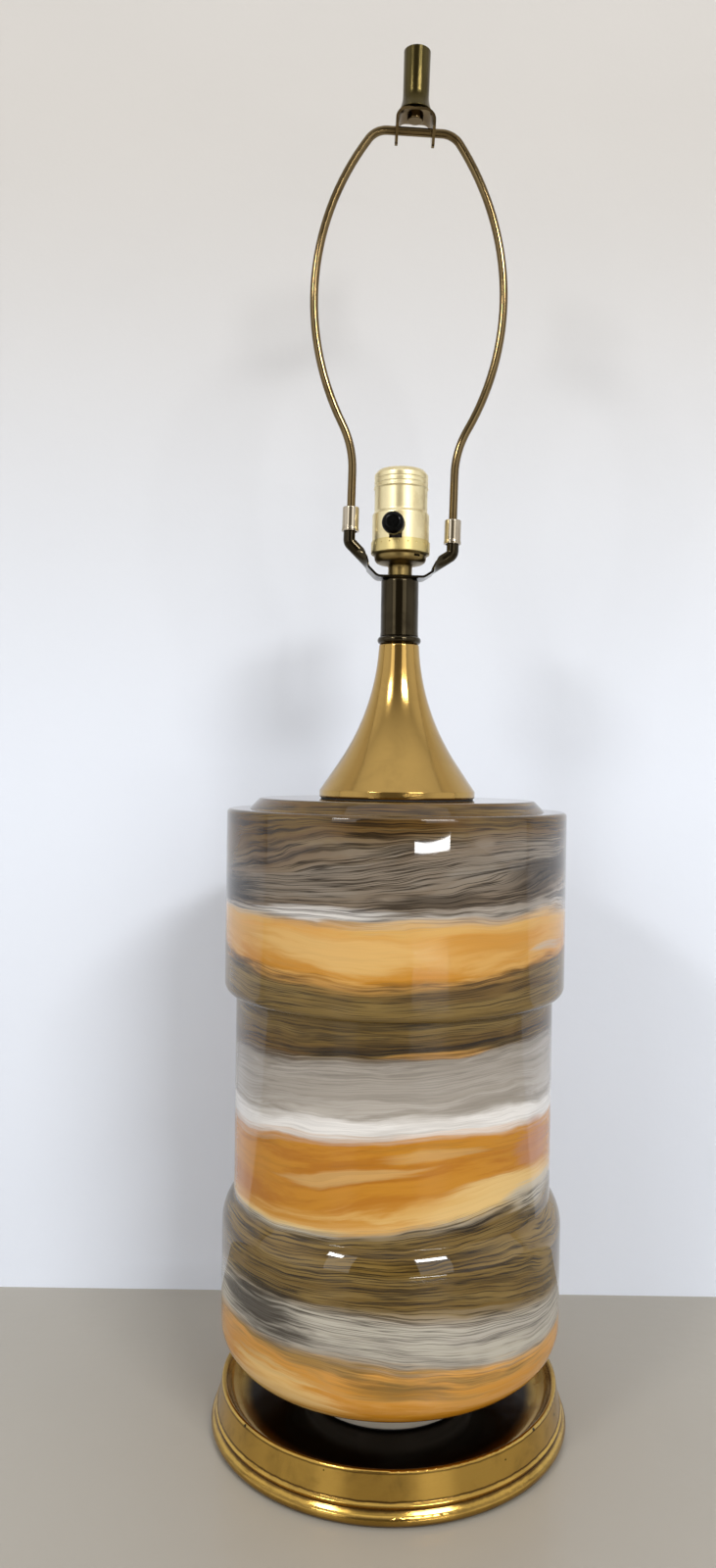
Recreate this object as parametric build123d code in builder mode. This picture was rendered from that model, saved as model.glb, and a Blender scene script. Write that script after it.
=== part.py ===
"""Tall glass table lamp: spun brass base, glass body, brass trumpet neck, lamp socket and wire harp.

Millimetres. The lamp axis is Z, the floor is z = 0 and the switch knob faces -Y.
The harp, its saddle, ferrules, top bracket and finial stand in a plane of their own,
turned and leaning a little, as they do on a lamp in use.
"""

import os
from math import acos, asin, atan2, cos, degrees, radians, sin, tan

from build123d import *

# Overall fits
RUNNING = 0.08
SLIP = 0.15

# Central threaded rod, 1/8 pipe size
ROD_R = 4.9
ROD_BORE_R = 3.2
ROD_FOOT_Z = 6.0
ROD_TOP_ENGAGEMENT = 6.0
ROD_CHAMFER = 0.5

# Felt under the base
FELT_T = 0.5
FELT_INSET = 3.3

# Spun brass base. Insets are measured in from its widest radius, rises up from the level below
BASE_R = 106.8
BASE_SHEET = 1.2
BASE_BEAD_H = 6.7
BASE_BEAD_SWEEP = 150.0
BASE_GROOVE_INSET = 3.1
BASE_GROOVE_RISE = 1.4
BASE_STEP_INSET = 2.3
BASE_STEP_RISE = 2.4
BASE_WALL_INSET = 3.6
BASE_WALL_RISE = 1.3
BASE_RIM_INSET = 6.2
BASE_RIM_RISE = 15.1
BASE_ROUNDING = 0.6
BASE_LIP_INSET = 9.8
DISH_DEPTH = 10.0
DISH_FLOOR_INSET = 14.3
DISH_ROUNDING = 11.0

# Cord outlet in the back of the base, its height measured up from the foot of the plain wall
OUTLET_BORE_R = 3.3
OUTLET_TUBE_R = 4.2
OUTLET_FLANGE_R = 5.4
OUTLET_FLANGE_T = 1.6
OUTLET_RISE = 6.0
OUTLET_INSIDE = 1.6

# Hardware that draws the stack together under the dish
BASE_WASHER_R = 19.0
BASE_WASHER_T = 1.5
LOCK_WASHER_R = 8.6
LOCK_WASHER_T = 0.9
LOCK_WASHER_TEETH = 12
LOCK_TOOTH_DEPTH = 1.4
LOCK_TOOTH_GAP = 1.6
BASE_NUT_FLATS = 14.3
BASE_NUT_H = 4.8

# Glass body, heights measured up from the foot, insets in from the glass's widest radius
GLASS_WALL = 4.0
GLASS_R = 101.8
WAIST_INSET = 6.8
FOOT_R = 50.0
FOOT_WALL = 7.0
FOOT_H = 11.3
FOOT_ROUNDING = 2.0
FOOT_FILLET = 4.0
BOWL_RISE = 22.3
BOWL_ROUNDING = 20.0
BULGE_H = 113.3
BULGE_ROUNDING = 26.0
BULGE_SLOPE_H = 9.0
WAIST_H = 119.0
WAIST_ROUNDING = 0.7
STEP_ROUNDING = 5.9
SHOULDER_RISE = 108.3
SHOULDER_ROUNDING = 2.5
LEDGE_INSET = 13.1
DISC_INSET = 19.4
DISC_H = 6.3
DISC_ROUNDING = 2.2
GLASS_FOOT_HOLE_R = 6.5
GLASS_MOUTH_R = 25.0
FOOT_GASKET_T = 0.6
FOOT_GASKET_INSET = 1.5
FOOT_GASKET_WIDTH = 6.0

# Seat of the neck on the glass
MOUTH_DISC_FLANGE = 3.0
MOUTH_DISC_FLANGE_T = 1.5
MOUTH_DISC_DEPTH = 3.5
TOP_GASKET_T = 0.5
TOP_GASKET_WIDTH = 9.9

# Spun brass trumpet
TRUMPET_SHEET = 1.0
TRUMPET_H = 92.6
TRUMPET_FOOT_R = 46.9
TRUMPET_BAND_H = 4.3
TRUMPET_TOP_R = 12.2
TRUMPET_TOP_SLOPE = 3.5
TRUMPET_FOOT_SLOPE = 34.0
TRUMPET_LIP = 5.0
TRUMPET_EDGE = 1.3

# Check ring and neck tube
RING_R = 13.1
RING_H = 4.6
RING_ROUNDING = 2.2
NECK_R = 11.35
NECK_FLARE = 0.25
NECK_FOOT_H = 3.0
NECK_WALL = 1.0
NECK_H = 34.7
NECK_TOP_ROUNDING = 2.2

# Lamp socket. Its radii step in and out from the shell's widest one, heights rise from the piece below
SHELL_R = 17.1
CAP_SHEET = 0.5
HUB_R = 7.2
HUB_H = 6.6
HUB_FLARE = 3.3
HUB_FILLET = 2.0
CAP_FLOOR_RISE = 1.8
CAP_CORNER_ROUNDING = 3.0
CAP_DRAFT = 0.4
CAP_SIDE_INSET = 1.4
CAP_SIDE_H = 3.8
CAP_BEND = 0.6
CAP_BAND_OUTSET = 0.6
CAP_BAND_RISE = 1.3
CAP_BAND_H = 6.7
CAP_DENTS = 20
CAP_DENT_R = 0.55
CAP_DENT_DEPTH = 0.3
CAP_DENT_DROP = 1.7
CAP_DENT_TURN = -4.2
CAP_SLOT_WIDTH = 4.4
CAP_SLOT_H = 1.3
CAP_SLOT_DROP = 1.6
CAP_SLOT_TURN = 39.0
SET_SCREW_R = 1.6
SET_SCREW_PROUD = 0.8
SHELL_SHEET = 0.5
SHELL_LAP = 4.6
SHELL_LOWER_H = 20.9
SHELL_STEP_H = 2.0
SHELL_STEP_ROUNDING = 1.5
SHELL_UPPER_INSET = 1.2
SHELL_UPPER_H = 13.1
SHELL_BEAD_INSET = 0.6
SHELL_BEAD_FLANK = 1.0
SHELL_BEAD_ROUNDING = 0.6
SHELL_COLLAR_INSET = 0.95
SHELL_COLLAR_ROUNDING = 1.6
SHELL_GROOVE_HALF = 0.6
SHELL_GROOVE_DEPTH = 0.3
SHELL_LAND_FOOT = 0.5
SHELL_LAND_MIDDLE = 1.7
SHELL_LAND_TOP = 2.4
SHELL_RIM_INSET = 3.1
SHELL_RIM_RISE = 2.5
LINER_T = 0.5
LINER_TOP_GAP = 4.2
INSULATOR_PLAY = 0.2
INSULATOR_FOOT_R = 10.4
INSULATOR_FOOT_H = 5.4
INSULATOR_H = 20.6
INSULATOR_EDGE = 0.5
THREAD_CREST_R = 12.6
THREAD_ROOT_R = 13.35
THREAD_PITCH = 3.629
THREAD_TURNS = 6
THREAD_FLAT = 0.95
THREAD_SHEET = 0.35
THREAD_FLANGE_R = 7.0
THREAD_FOOT_H = 1.6
THREAD_LIP_H = 1.0
CONTACT_R = 3.6
CONTACT_T = 1.0
CONTACT_RISE = 2.4
TERMINAL_R = 2.6
TERMINAL_T = 1.4
TERMINAL_SHANK_R = 1.5
TERMINAL_SHANK_L = 4.0
TERMINAL_DROP = 9.4
TERMINAL_POCKET_WIDTH = 8.0
TERMINAL_POCKET_H = 9.0
TERMINAL_POCKET_DEPTH = 3.4
DRIVE_SLOT_WIDTH = 0.7
DRIVE_SLOT_DEPTH = 0.6

# Rotary switch in the socket
KNOB_TURN = -11.0
KNOB_H = 27.5
KNOB_R = 6.6
KNOB_STANDOFF = 2.3
KNOB_LENGTH = 9.2
KNOB_DOME = 3.4
KNOB_BACK_EDGE = 0.6
KNOB_NECK_R = 3.2
KNOB_NECK_H = 1.2
SWITCH_SHAFT_R = 1.6
SWITCH_SHAFT_DEPTH = 5.0
SWITCH_SHAFT_IN_KNOB = 6.0
NOTCH_WIDTH = 7.8

# Harp and the plane it stands in
HARP_YAW = 3.3
HARP_LEAN = 1.1
WIRE_R = 2.5
LEG_HALF_SPAN = 30.9
HARP_HALF_WIDTH = 57.15
WIDEST_H = 168.6
HARP_H = 268.1
BOW_R = 163.0
LEG_BEND_R = 57.9
HARP_SHOULDER_R = 13.5
WIRE_FOOT_H = 25.0

# Saddle: one strip, flat over the neck and rolled to channels up the legs
SADDLE_T = 1.4
SADDLE_STRIP = 15.9
SADDLE_FLAT_HALF = 14.0
SADDLE_ELBOW_H = 17.2
SADDLE_TOP_H = 36.0
SADDLE_SKEW = 2.5
SADDLE_ROOT_BEND = 5.0
SADDLE_ELBOW_BEND = 7.0
SADDLE_FLAT_SHARE = 0.25
SADDLE_CURL_SHARE = 0.75

# Ferrules that lock the harp legs to the saddle
FERRULE_WALL = 0.9
FERRULE_H = 14.6
FERRULE_FOOT_H = 24.9
FERRULE_LIP = 1.2
FERRULE_FLARE = 0.25
FERRULE_FLARE_H = 1.2
FERRULE_EDGE = 0.8

# Bracket, stud and finial on top of the harp
BRACKET_SPAN = 23.8
BRACKET_T = 1.7
BRACKET_WIDTH = 16.0
BRACKET_RISE = 10.6
BRACKET_BEND = 6.0
EAR_DROP = 8.6
EAR_TIP_R = 3.2
STUD_R = 3.17
STUD_ABOVE = 16.0
STUD_HEAD_R = 4.8
STUD_HEAD_T = 2.5
STUD_EDGE = 0.6
FINIAL_R = 8.1
FINIAL_H = 36.1
FINIAL_GAP = 0.7
FINIAL_EDGE = 0.3
FINIAL_TAPER = 0.3
SKIRT_FLARE = 1.9
SKIRT_H = 6.0
SKIRT_ROUNDING = 20.0
SKIRT_WALL = 1.6
SKIRT_CAVITY_H = 3.0
FINIAL_BORE_H = 20.0

# Heights of the stack, each worked out from the piece below it
rod_hole_r = ROD_R + SLIP
base_groove_z = FELT_T + BASE_BEAD_H + BASE_GROOVE_RISE
base_step_z = base_groove_z + BASE_STEP_RISE
base_wall_z = base_step_z + BASE_WALL_RISE
base_rim_z = base_wall_z + BASE_RIM_RISE
dish_floor_z = base_rim_z - DISH_DEPTH
glass_z = dish_floor_z + FOOT_GASKET_T
bulge_z = glass_z + BULGE_H
waist_foot_z = bulge_z + BULGE_SLOPE_H
waist_top_z = waist_foot_z + WAIST_H
shoulder_z = waist_top_z + SHOULDER_RISE
glass_top_z = shoulder_z + DISC_H
trumpet_z = glass_top_z + TOP_GASKET_T
trumpet_top_z = trumpet_z + TRUMPET_H
ring_top_z = trumpet_top_z + RING_H
neck_top_z = ring_top_z + NECK_H
saddle_top_z = neck_top_z + SADDLE_T
socket_z = saddle_top_z
rod_top_z = socket_z + ROD_TOP_ENGAGEMENT
hub_top_z = socket_z + HUB_H
cap_corner_z = hub_top_z + CAP_FLOOR_RISE
cap_side_z = cap_corner_z + CAP_SIDE_H
cap_band_z = cap_side_z + CAP_BAND_RISE
cap_top_z = cap_band_z + CAP_BAND_H
shell_foot_z = cap_top_z - SHELL_LAP
insulator_step_z = cap_corner_z + INSULATOR_FOOT_H
insulator_top_z = insulator_step_z + INSULATOR_H
dish_under_z = dish_floor_z - BASE_SHEET
washer_z = dish_under_z - BASE_WASHER_T
lock_washer_z = washer_z - LOCK_WASHER_T
nut_z = lock_washer_z - BASE_NUT_H

# Radii of the socket's pieces, each worked out from the shell's
cap_side_r = SHELL_R - CAP_SIDE_INSET
cap_band_r = SHELL_R + CAP_BAND_OUTSET
shell_upper_r = SHELL_R - SHELL_UPPER_INSET
shell_collar_r = SHELL_R - SHELL_COLLAR_INSET
liner_r = shell_upper_r - SHELL_SHEET - RUNNING
insulator_r = liner_r - LINER_T - INSULATOR_PLAY
knob_back = SHELL_R + KNOB_STANDOFF
knob_face = knob_back + KNOB_LENGTH

# Radii shared by the wire, the saddle's channels and the ferrules
channel_inner_r = WIRE_R + SLIP
channel_outer_r = channel_inner_r + SADDLE_T
channel_mean_r = channel_inner_r + SADDLE_T / 2
ferrule_bore_r = channel_outer_r + RUNNING
ferrule_r = ferrule_bore_r + FERRULE_WALL

# The harp's plane: local x runs across the legs, local y up them
yaw, lean = radians(HARP_YAW), radians(HARP_LEAN)
across = Vector(cos(yaw) * cos(lean), sin(yaw) * cos(lean), -sin(lean))
along = Vector(cos(yaw) * sin(lean), sin(yaw) * sin(lean), cos(lean))
harp_front = Plane(origin=(0, 0, neck_top_z), x_dir=across, z_dir=across.cross(along))


def harp_point(x, height):
    """A point of the harp's plane in the lamp's frame."""
    return harp_front.from_local_coords(Vector(x, height, 0))


def harp_upright(x):
    """The harp's plane with its origin moved across to x."""
    return Plane(origin=harp_point(x, 0), x_dir=across, z_dir=harp_front.z_dir)


def harp_level(x, height):
    """The plane square to the harp's legs at one point."""
    return Plane(origin=harp_point(x, height), x_dir=across, z_dir=along)


harp_ears = Plane(origin=harp_point(0, 0), x_dir=-harp_front.z_dir, z_dir=across)


def spin(corners, plane=Plane.XZ, axis=Axis.Z, mode=Mode.ADD):
    """Turn a closed outline about an axis. Each corner is (radius, height, rounding)."""
    with BuildSketch(plane) as outline:
        with BuildLine():
            FilletPolyline(
                [(r, z) for r, z, rounding in corners],
                radius=[rounding for r, z, rounding in corners],
                close=True,
            )
        make_face()
    revolve(outline.sketch, axis=axis, mode=mode)


def keep(builder, name):
    """Label one finished piece and write it."""
    builder.part.label = name
    export_step(builder.part, f"parts/{name}.step")


os.makedirs("parts", exist_ok=True)

# Felt disc that the lamp stands on
with BuildPart() as base_felt:
    with BuildSketch(Plane.XY):
        Circle(BASE_R - FELT_INSET)
    extrude(amount=FELT_T)
keep(base_felt, "base_felt")


# Spun base: bead, groove, step, plain band, rim and shallow dish
wall_slope = (BASE_RIM_INSET - BASE_WALL_INSET) / BASE_RIM_RISE
outlet_wall_r = BASE_R - BASE_WALL_INSET - OUTLET_RISE * wall_slope
outlet_plane = Plane(origin=(0, 0, base_wall_z + OUTLET_RISE), x_dir=(-1, 0, 0), z_dir=(0, 1, 0))
outlet_start = outlet_wall_r - BASE_SHEET - OUTLET_INSIDE


def base_face():
    """The sheet's outer face, from the lip turned in under the bead to the rod hole."""
    half_bead = BASE_BEAD_H / 2
    bead_start = (BASE_R - half_bead, FELT_T)
    Line((BASE_R - BASE_LIP_INSET, FELT_T), bead_start)
    bead = JernArc(start=bead_start, tangent=(1, 0), radius=half_bead, arc_size=BASE_BEAD_SWEEP)
    FilletPolyline(
        bead @ 1,
        (BASE_R - BASE_GROOVE_INSET, base_groove_z),
        (BASE_R - BASE_STEP_INSET, base_step_z),
        (BASE_R - BASE_WALL_INSET, base_wall_z),
        (BASE_R - BASE_RIM_INSET, base_rim_z),
        (BASE_R - BASE_RIM_INSET - 2 * BASE_SHEET, base_rim_z - BASE_SHEET / 4),
        (BASE_R - DISH_FLOOR_INSET, dish_floor_z),
        (rod_hole_r, dish_floor_z),
        radius=[BASE_ROUNDING, BASE_ROUNDING, BASE_ROUNDING, BASE_SHEET, BASE_SHEET, DISH_ROUNDING],
    )


with BuildPart() as base_shell:
    with BuildSketch(Plane.XZ):
        with BuildLine():
            base_face()
            offset(amount=BASE_SHEET, side=Side.LEFT)
        make_face()
    revolve(axis=Axis.Z)
    with BuildSketch(outlet_plane.offset(outlet_start)):
        Circle(OUTLET_TUBE_R + RUNNING)
    extrude(amount=BASE_R - outlet_start, mode=Mode.SUBTRACT)
keep(base_shell, "base_shell")

# The base's outer form, filled to the axis, for the outlet flange to lie on
with BuildPart() as base_form:
    with BuildSketch(Plane.XZ):
        with BuildLine():
            base_face()
            Line((rod_hole_r, dish_floor_z), (0, dish_floor_z))
            Line((0, dish_floor_z), (0, FELT_T))
            Line((0, FELT_T), (BASE_R - BASE_LIP_INSET, FELT_T))
        make_face()
    revolve(axis=Axis.Z)

# Grommet in the back of the base, where a lead comes out
with BuildPart() as cord_outlet:
    with BuildSketch(outlet_plane.offset(outlet_wall_r - OUTLET_FLANGE_T)):
        Circle(OUTLET_FLANGE_R)
    extrude(amount=2 * OUTLET_FLANGE_T)
    add(base_form.part, mode=Mode.SUBTRACT)
    with BuildSketch(outlet_plane.offset(outlet_start)):
        Circle(OUTLET_TUBE_R)
    extrude(until=Until.NEXT)
    with BuildSketch(outlet_plane.offset(outlet_start)):
        Circle(OUTLET_BORE_R)
    extrude(amount=BASE_R - outlet_start, mode=Mode.SUBTRACT)
keep(cord_outlet, "cord_outlet")

# Gasket between the dish and the glass foot
foot_gasket_r = FOOT_R - FOOT_GASKET_INSET
with BuildPart() as foot_gasket:
    with BuildSketch(Plane.XY.offset(dish_floor_z)):
        Circle(foot_gasket_r)
        Circle(foot_gasket_r - FOOT_GASKET_WIDTH, mode=Mode.SUBTRACT)
    extrude(amount=FOOT_GASKET_T)
keep(foot_gasket, "foot_gasket")

# Blown glass body: foot ring, bowl, bulge, waist, shoulder and raised disc
bowl_z = glass_z + FOOT_H
bowl_slope = atan2(BOWL_RISE, GLASS_R - FOOT_R)
bulge_turn = atan2(WAIST_INSET, BULGE_SLOPE_H)
disc_slope = atan2(DISC_H, DISC_INSET - LEDGE_INSET)


def glass_corners(inset):
    """Corners of the glass from the bowl's side to the disc's middle, some way inside its face."""
    side, waist = GLASS_R - inset, GLASS_R - WAIST_INSET - inset
    bowl_top_z = bowl_z + (side - FOOT_R) * tan(bowl_slope) + inset / cos(bowl_slope)
    bulge_drop = inset * tan(bulge_turn / 2)
    disc_inset = inset * tan(disc_slope / 2)
    return [
        (side, bowl_top_z, BOWL_ROUNDING - inset),
        (side, bulge_z - bulge_drop, BULGE_ROUNDING - inset),
        (waist, waist_foot_z - bulge_drop, WAIST_ROUNDING + inset),
        (waist, waist_top_z + inset, WAIST_ROUNDING + inset),
        (side, waist_top_z + inset, STEP_ROUNDING - inset),
        (side, shoulder_z - inset, SHOULDER_ROUNDING),
        (GLASS_R - LEDGE_INSET - disc_inset, shoulder_z - inset, 0),
        (GLASS_R - DISC_INSET - disc_inset, glass_top_z - inset, DISC_ROUNDING),
        (0, glass_top_z - inset, 0),
    ]


with BuildPart() as glass_body:
    spin(
        [
            (0, bowl_z, 0),
            (FOOT_R - FOOT_WALL, bowl_z, FOOT_ROUNDING),
            (FOOT_R - FOOT_WALL, glass_z, FOOT_ROUNDING),
            (FOOT_R, glass_z, FOOT_ROUNDING),
            (FOOT_R, bowl_z, FOOT_FILLET),
        ]
        + glass_corners(0)
    )
    spin(
        [
            (0, bowl_z + GLASS_WALL, 0),
            (FOOT_R - GLASS_WALL * tan(bowl_slope / 2), bowl_z + GLASS_WALL, FOOT_FILLET),
        ]
        + glass_corners(GLASS_WALL),
        mode=Mode.SUBTRACT,
    )
    with BuildSketch(Plane.XY.offset(bowl_z)):
        Circle(GLASS_FOOT_HOLE_R)
    extrude(amount=GLASS_WALL, mode=Mode.SUBTRACT)
    with BuildSketch(Plane.XY.offset(glass_top_z - GLASS_WALL)):
        Circle(GLASS_MOUTH_R)
    extrude(amount=GLASS_WALL, mode=Mode.SUBTRACT)
keep(glass_body, "glass_body")

# Disc that centres the rod in the glass mouth
with BuildPart() as mouth_disc:
    spin(
        [
            (rod_hole_r, glass_top_z - MOUTH_DISC_DEPTH, 0),
            (GLASS_MOUTH_R - SLIP, glass_top_z - MOUTH_DISC_DEPTH, MOUTH_DISC_FLANGE_T / 2),
            (GLASS_MOUTH_R - SLIP, glass_top_z, 0),
            (GLASS_MOUTH_R + MOUTH_DISC_FLANGE, glass_top_z, 0),
            (
                GLASS_MOUTH_R + MOUTH_DISC_FLANGE,
                glass_top_z + MOUTH_DISC_FLANGE_T,
                MOUTH_DISC_FLANGE_T / 2,
            ),
            (rod_hole_r, glass_top_z + MOUTH_DISC_FLANGE_T, 0),
        ]
    )
keep(mouth_disc, "mouth_disc")

# Gasket between the glass and the trumpet's foot
top_gasket_r = TRUMPET_FOOT_R - TRUMPET_SHEET
with BuildPart() as top_gasket:
    with BuildSketch(Plane.XY.offset(glass_top_z)):
        Circle(top_gasket_r)
        Circle(top_gasket_r - TOP_GASKET_WIDTH, mode=Mode.SUBTRACT)
    extrude(amount=TOP_GASKET_T)
keep(top_gasket, "top_gasket")

# Spun trumpet: an arc that runs into a straight foot slope, then a plain band
top_slope, foot_slope = radians(TRUMPET_TOP_SLOPE), radians(TRUMPET_FOOT_SLOPE)
trumpet_band_z = trumpet_z + TRUMPET_BAND_H
flare_start = Vector(TRUMPET_TOP_R, trumpet_top_z - 2 * TRUMPET_EDGE)
# Radius that makes the foot slope meet the band's top edge
flare_gap = Vector(TRUMPET_FOOT_R, trumpet_band_z) - flare_start
flare_r = -flare_gap.dot(Vector(cos(foot_slope), sin(foot_slope))) / (1 - cos(foot_slope - top_slope))

with BuildPart() as trumpet_neck:
    with BuildSketch(Plane.XZ):
        with BuildLine():
            shoulder = FilletPolyline(
                (rod_hole_r, trumpet_top_z),
                (TRUMPET_TOP_R - 2 * TRUMPET_EDGE * tan(top_slope), trumpet_top_z),
                flare_start,
                radius=TRUMPET_EDGE,
            )
            flare = JernArc(
                start=shoulder @ 1,
                tangent=(sin(top_slope), -cos(top_slope)),
                radius=flare_r,
                arc_size=TRUMPET_FOOT_SLOPE - TRUMPET_TOP_SLOPE,
            )
            FilletPolyline(
                flare @ 1,
                (TRUMPET_FOOT_R, trumpet_band_z),
                (TRUMPET_FOOT_R, trumpet_z),
                (TRUMPET_FOOT_R - TRUMPET_LIP, trumpet_z),
                radius=[TRUMPET_SHEET, TRUMPET_EDGE],
            )
            offset(amount=TRUMPET_SHEET, side=Side.RIGHT)
        make_face()
    revolve(axis=Axis.Z)
keep(trumpet_neck, "trumpet_neck")

# Check ring under the neck tube
with BuildPart() as neck_ring:
    spin(
        [
            (rod_hole_r, trumpet_top_z, 0),
            (RING_R, trumpet_top_z, RING_ROUNDING),
            (RING_R, ring_top_z, RING_ROUNDING),
            (rod_hole_r, ring_top_z, 0),
        ]
    )
keep(neck_ring, "neck_ring")

# Neck tube with its ends turned in to the rod
with BuildPart() as neck_tube:
    spin(
        [
            (rod_hole_r, ring_top_z, 0),
            (NECK_R + NECK_FLARE, ring_top_z, NECK_WALL / 2),
            (NECK_R, ring_top_z + NECK_FOOT_H, NECK_FOOT_H),
            (NECK_R, neck_top_z, NECK_TOP_ROUNDING),
            (rod_hole_r, neck_top_z, 0),
        ]
    )
    spin(
        [
            (rod_hole_r, ring_top_z + NECK_WALL, 0),
            (NECK_R - NECK_WALL, ring_top_z + NECK_WALL, 0),
            (NECK_R - NECK_WALL, neck_top_z - NECK_WALL, NECK_TOP_ROUNDING - NECK_WALL),
            (rod_hole_r, neck_top_z - NECK_WALL, 0),
        ],
        mode=Mode.SUBTRACT,
    )
keep(neck_tube, "neck_tube")

# Rod that clamps the whole stack
with BuildPart() as threaded_rod:
    with BuildSketch(Plane.XY.offset(ROD_FOOT_Z)):
        Circle(ROD_R)
        Circle(ROD_BORE_R, mode=Mode.SUBTRACT)
    extrude(amount=rod_top_z - ROD_FOOT_Z)
    chamfer(threaded_rod.edges().filter_by(GeomType.CIRCLE).group_by(SortBy.RADIUS)[-1], length=ROD_CHAMFER)
keep(threaded_rod, "threaded_rod")

with BuildPart() as base_washer:
    with BuildSketch(Plane.XY.offset(washer_z)):
        Circle(BASE_WASHER_R)
        Circle(rod_hole_r, mode=Mode.SUBTRACT)
    extrude(amount=BASE_WASHER_T)
keep(base_washer, "base_washer")

with BuildPart() as lock_washer:
    with BuildSketch(Plane.XY.offset(lock_washer_z)):
        Circle(LOCK_WASHER_R)
        Circle(rod_hole_r, mode=Mode.SUBTRACT)
        with PolarLocations(LOCK_WASHER_R, LOCK_WASHER_TEETH):
            Rectangle(2 * LOCK_TOOTH_DEPTH, LOCK_TOOTH_GAP, mode=Mode.SUBTRACT)
    extrude(amount=LOCK_WASHER_T)
keep(lock_washer, "lock_washer")

with BuildPart() as base_nut:
    with BuildSketch(Plane.XY.offset(nut_z)):
        RegularPolygon(radius=BASE_NUT_FLATS / 2, side_count=6, major_radius=False)
        Circle(ROD_R + RUNNING, mode=Mode.SUBTRACT)
    extrude(amount=BASE_NUT_H)
keep(base_nut, "base_nut")

# Harp saddle: flat over the neck, rolled to open channels up the two legs
neck_front = Plane(
    origin=(0, 0, neck_top_z), x_dir=(cos(yaw), sin(yaw), 0), z_dir=harp_front.z_dir
)


def saddle_arm(side, skew):
    """Middle line of one saddle arm, from over the neck to the top of its channel."""
    back = side * (LEG_HALF_SPAN + channel_mean_r)
    elbow = neck_front.to_local_coords(harp_point(back, SADDLE_ELBOW_H + skew))
    top = neck_front.to_local_coords(harp_point(back, SADDLE_TOP_H + skew))
    with BuildLine(neck_front):
        return FilletPolyline(
            (0, SADDLE_T / 2),
            (side * SADDLE_FLAT_HALF, SADDLE_T / 2),
            (elbow.X, elbow.Y),
            (top.X, top.Y),
            radius=[SADDLE_ROOT_BEND, SADDLE_ELBOW_BEND],
        )


def strip_section(edge, share, curl, side):
    """The strip's cross-section at a share of an edge, rolled by a share of the channel."""
    tangent = edge % share
    inward = harp_front.z_dir.cross(tangent) * side
    with BuildSketch(Plane(origin=edge @ share, x_dir=inward, z_dir=tangent)) as section:
        if curl == 0:
            Rectangle(SADDLE_T, SADDLE_STRIP)
        else:
            mean_r = channel_mean_r / curl
            reach = degrees(SADDLE_STRIP / 2 / mean_r)
            with BuildLine():
                inner = CenterArc((mean_r, 0), mean_r - SADDLE_T / 2, 180 - reach, 2 * reach)
                outer = CenterArc((mean_r, 0), mean_r + SADDLE_T / 2, 180 - reach, 2 * reach)
                Line(inner @ 0, outer @ 0)
                Line(inner @ 1, outer @ 1)
            make_face()
    return section.sketch


with BuildPart() as harp_saddle:
    for side, skew in ((-1, SADDLE_SKEW), (1, -SADDLE_SKEW)):
        flat, root, slant, bend, upper = saddle_arm(side, skew).order_edges()
        sweep(
            strip_section(flat, 0, 0, side),
            path=Wire([flat, root, slant.trim(0, SADDLE_FLAT_SHARE)]),
        )
        shares = (0, 1 / 3, 2 / 3, 1)
        span = SADDLE_CURL_SHARE - SADDLE_FLAT_SHARE
        loft([strip_section(slant, SADDLE_FLAT_SHARE + span * s, s, side) for s in shares])
        sweep(
            strip_section(slant, SADDLE_CURL_SHARE, 1, side),
            path=Wire([slant.trim(SADDLE_CURL_SHARE, 1), bend, upper]),
        )
    with BuildSketch(Plane.XY.offset(neck_top_z)):
        Circle(rod_hole_r)
    extrude(amount=SADDLE_T, mode=Mode.SUBTRACT)
keep(harp_saddle, "harp_saddle")

# Harp: one bent wire. Each side is a straight leg, an outward bend, the bow and a shoulder
bow_middle = HARP_HALF_WIDTH - BOW_R
leg_bend_middle = LEG_HALF_SPAN + LEG_BEND_R
leg_turn = acos((leg_bend_middle - bow_middle) / (LEG_BEND_R + BOW_R))
leg_top_h = WIDEST_H - (LEG_BEND_R + BOW_R) * sin(leg_turn)
shoulder_turn = asin((HARP_H - HARP_SHOULDER_R - WIDEST_H) / (BOW_R - HARP_SHOULDER_R))

with BuildPart() as harp:
    for side in (-1, 1):
        with BuildLine(harp_front):
            leg = Line((side * LEG_HALF_SPAN, WIRE_FOOT_H), (side * LEG_HALF_SPAN, leg_top_h))
            leg_bend = JernArc(
                start=leg @ 1,
                tangent=(0, 1),
                radius=LEG_BEND_R,
                arc_size=-side * degrees(leg_turn),
            )
            bow = JernArc(
                start=leg_bend @ 1,
                tangent=leg_bend % 1,
                radius=BOW_R,
                arc_size=side * degrees(leg_turn + shoulder_turn),
            )
            shoulder = JernArc(
                start=bow @ 1,
                tangent=bow % 1,
                radius=HARP_SHOULDER_R,
                arc_size=side * (90 - degrees(shoulder_turn)),
            )
            Line(shoulder @ 1, harp_point(0, HARP_H))
        with BuildSketch(harp_level(side * LEG_HALF_SPAN, WIRE_FOOT_H)):
            Circle(WIRE_R)
        sweep()
keep(harp, "harp")

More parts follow.
